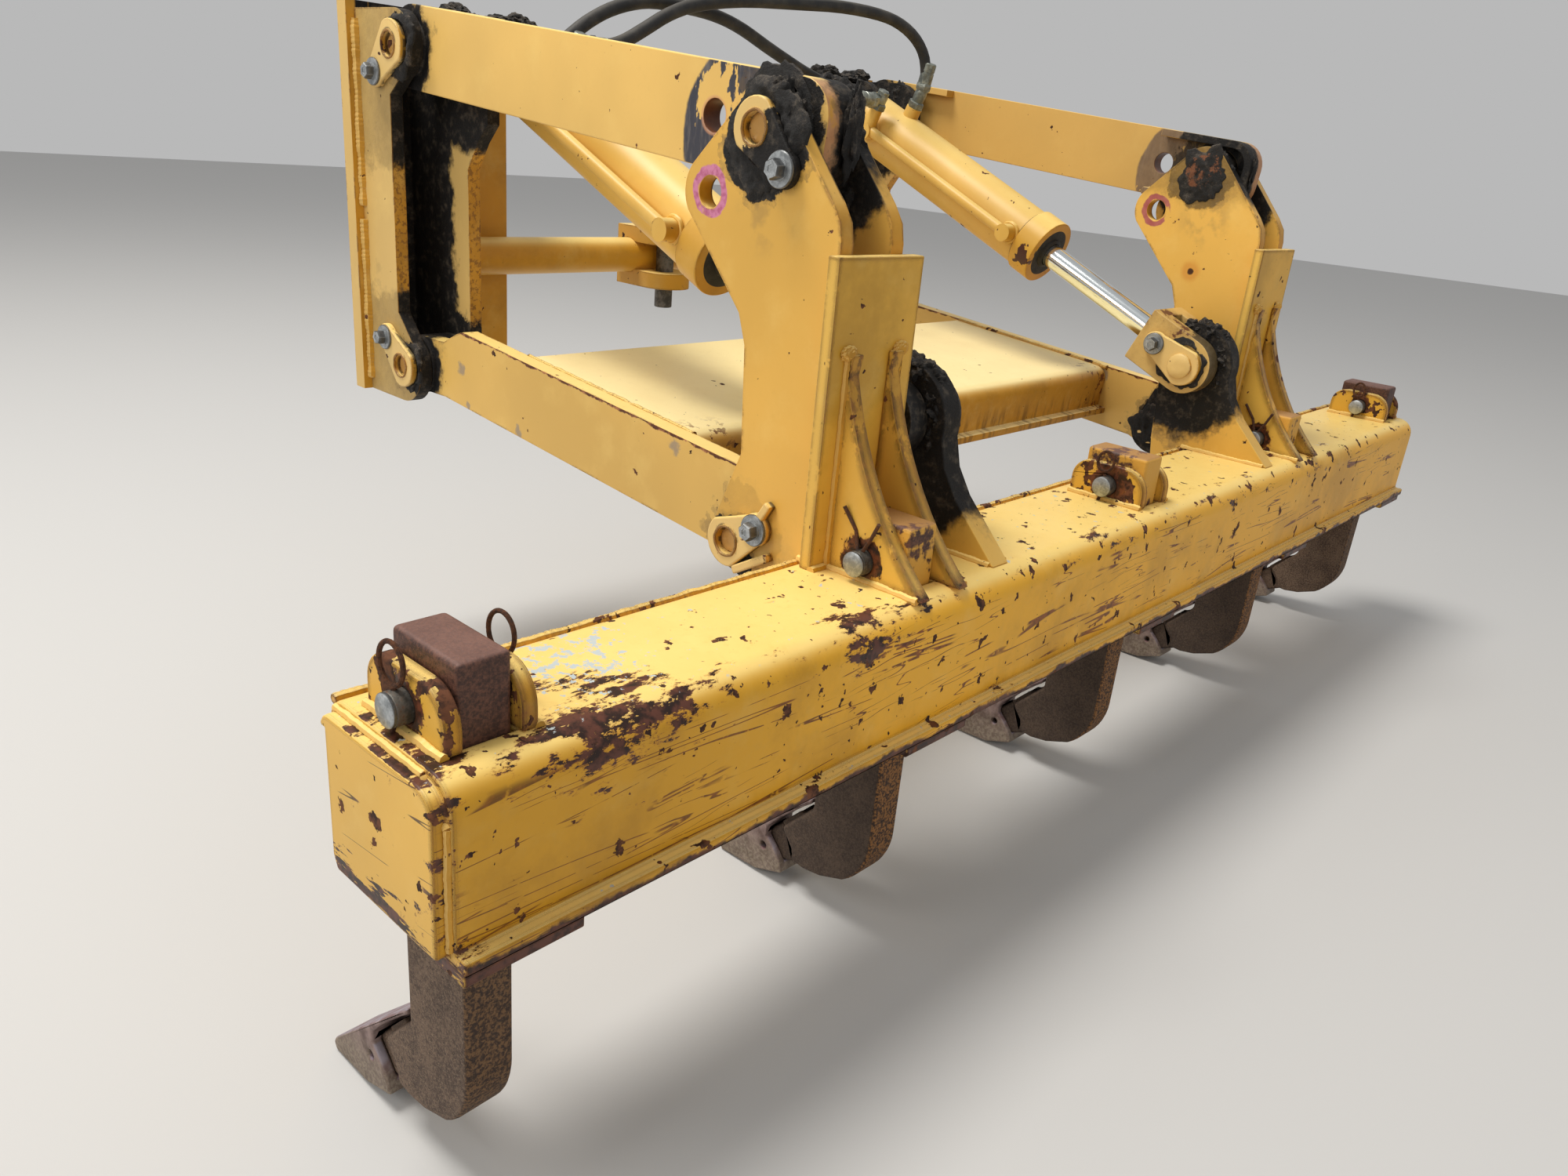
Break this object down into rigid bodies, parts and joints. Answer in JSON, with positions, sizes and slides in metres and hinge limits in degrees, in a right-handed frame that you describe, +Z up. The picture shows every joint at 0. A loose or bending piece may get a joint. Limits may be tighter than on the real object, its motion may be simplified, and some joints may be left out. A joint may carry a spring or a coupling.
{
  "type": "motor grader rear ripper",
  "caption": "Rear ripper of a motor grader: a cross beam with curved ripping shanks, carried by parallel arms on two bolted mounts and lifted by two hydraulic cylinders.",
  "frame": {"origin": "on the mounting face, midway between the two mounts and centred on the four outer bolt holes", "axes": "+X along the beam to the right seen from behind, +Y towards the machine, +Z up"},
  "size_m": [2.268, 1.1439, 1.1096],
  "materials": {
    "yellow_paint": "worn orange-yellow paint, chipped to rust at the edges",
    "shank_steel": "bare forged steel, speckled with rust",
    "worn_steel": "cast steel worn by soil",
    "pin_steel": "dull zinc-plated steel",
    "rod_steel": "hard chrome rod with a painted fork",
    "rubber": "black hydraulic hose",
    "gland_steel": "painted steel ring"
  },
  "bodies": {
    "mount": {"mount_left": "yellow_paint", "mount_right": "yellow_paint", "cross_tube": "yellow_paint", "hitch_clevis": "yellow_paint", "hitch_pin": "pin_steel", "mount_pins_left": "yellow_paint", "mount_pins_right": "yellow_paint"},
    "lower_frame": {"lower_arm_left": "yellow_paint", "lower_arm_right": "yellow_paint", "cross_box": "yellow_paint"},
    "upper_arm_left": {"upper_arm_left": "yellow_paint"},
    "upper_arm_right": {"upper_arm_right": "yellow_paint"},
    "beam": {"beam": "yellow_paint", "tower_left": "yellow_paint", "tower_right": "yellow_paint", "back_plates": "yellow_paint", "gussets_left": "yellow_paint", "gussets_right": "yellow_paint", "cylinder_bracket_left": "yellow_paint", "cylinder_bracket_right": "yellow_paint", "tower_pins_left": "yellow_paint", "tower_pins_right": "yellow_paint", "ears_left": "yellow_paint", "ears_middle": "yellow_paint", "ears_right": "yellow_paint", "shank_pins": "pin_steel", "shank_1": "shank_steel", "shank_2": "shank_steel", "shank_3": "shank_steel", "shank_4": "shank_steel", "shank_5": "shank_steel", "tip_1": "worn_steel", "tip_2": "worn_steel", "tip_3": "worn_steel", "tip_4": "worn_steel", "tip_5": "worn_steel"},
    "barrel_left": {"barrel_left": "yellow_paint", "gland_left": "gland_steel", "fittings_left": "pin_steel"},
    "barrel_right": {"barrel_right": "yellow_paint", "gland_right": "gland_steel", "fittings_right": "pin_steel", "hose_top": "rubber", "hose_side": "rubber"},
    "rod_left": {"rod_left": "rod_steel", "rod_pin_left": "yellow_paint"},
    "rod_right": {"rod_right": "rod_steel", "rod_pin_right": "yellow_paint"}
  },
  "joints": [
    {"name": "lift", "type": "hinge", "parent": "mount", "child": "lower_frame", "pos_m": [0, -0.132, -0.223], "axis": [-1, 0, 0], "range_deg": [-22, 15]},
    {"name": "beam_level", "type": "hinge", "parent": "lower_frame", "child": "beam", "pos_m": [0, -0.8539, -0.29], "axis": [-1, 0, 0], "range_deg": [-16, 23]},
    {"name": "upper_arm_left", "type": "hinge", "parent": "mount", "child": "upper_arm_left", "pos_m": [-0.533, -0.132, 0.223], "axis": [-1, 0, 0], "range_deg": [-23, 16]},
    {"name": "cylinder_left", "type": "hinge", "parent": "mount", "child": "barrel_left", "pos_m": [-0.4, -0.132, 0.223], "axis": [-1, 0, 0], "range_deg": [-17.71, 12.39]},
    {"name": "rod_left", "type": "slide", "parent": "barrel_left", "child": "rod_left", "axis": [0, -0.9125, -0.4092], "range_m": [-0.062, 0.09]},
    {"name": "upper_arm_right", "type": "hinge", "parent": "mount", "child": "upper_arm_right", "pos_m": [0.533, -0.132, 0.223], "axis": [-1, 0, 0], "range_deg": [-23, 16]},
    {"name": "cylinder_right", "type": "hinge", "parent": "mount", "child": "barrel_right", "pos_m": [0.4, -0.132, 0.223], "axis": [-1, 0, 0], "range_deg": [-17.71, 12.39]},
    {"name": "rod_right", "type": "slide", "parent": "barrel_right", "child": "rod_right", "axis": [0, -0.9125, -0.4092], "range_m": [-0.062, 0.09]}
  ],
  "couplings": [
    {"joint": "beam_level", "follows": "lift", "ratio": -1},
    {"joint": "upper_arm_left", "follows": "lift", "ratio": 1},
    {"joint": "cylinder_left", "follows": "lift", "ratio": 0.7595},
    {"joint": "rod_left", "follows": "lift", "m_per_rad": -0.2243},
    {"joint": "upper_arm_right", "follows": "lift", "ratio": 1},
    {"joint": "cylinder_right", "follows": "lift", "ratio": 0.7595},
    {"joint": "rod_right", "follows": "lift", "m_per_rad": -0.2243}
  ]
}
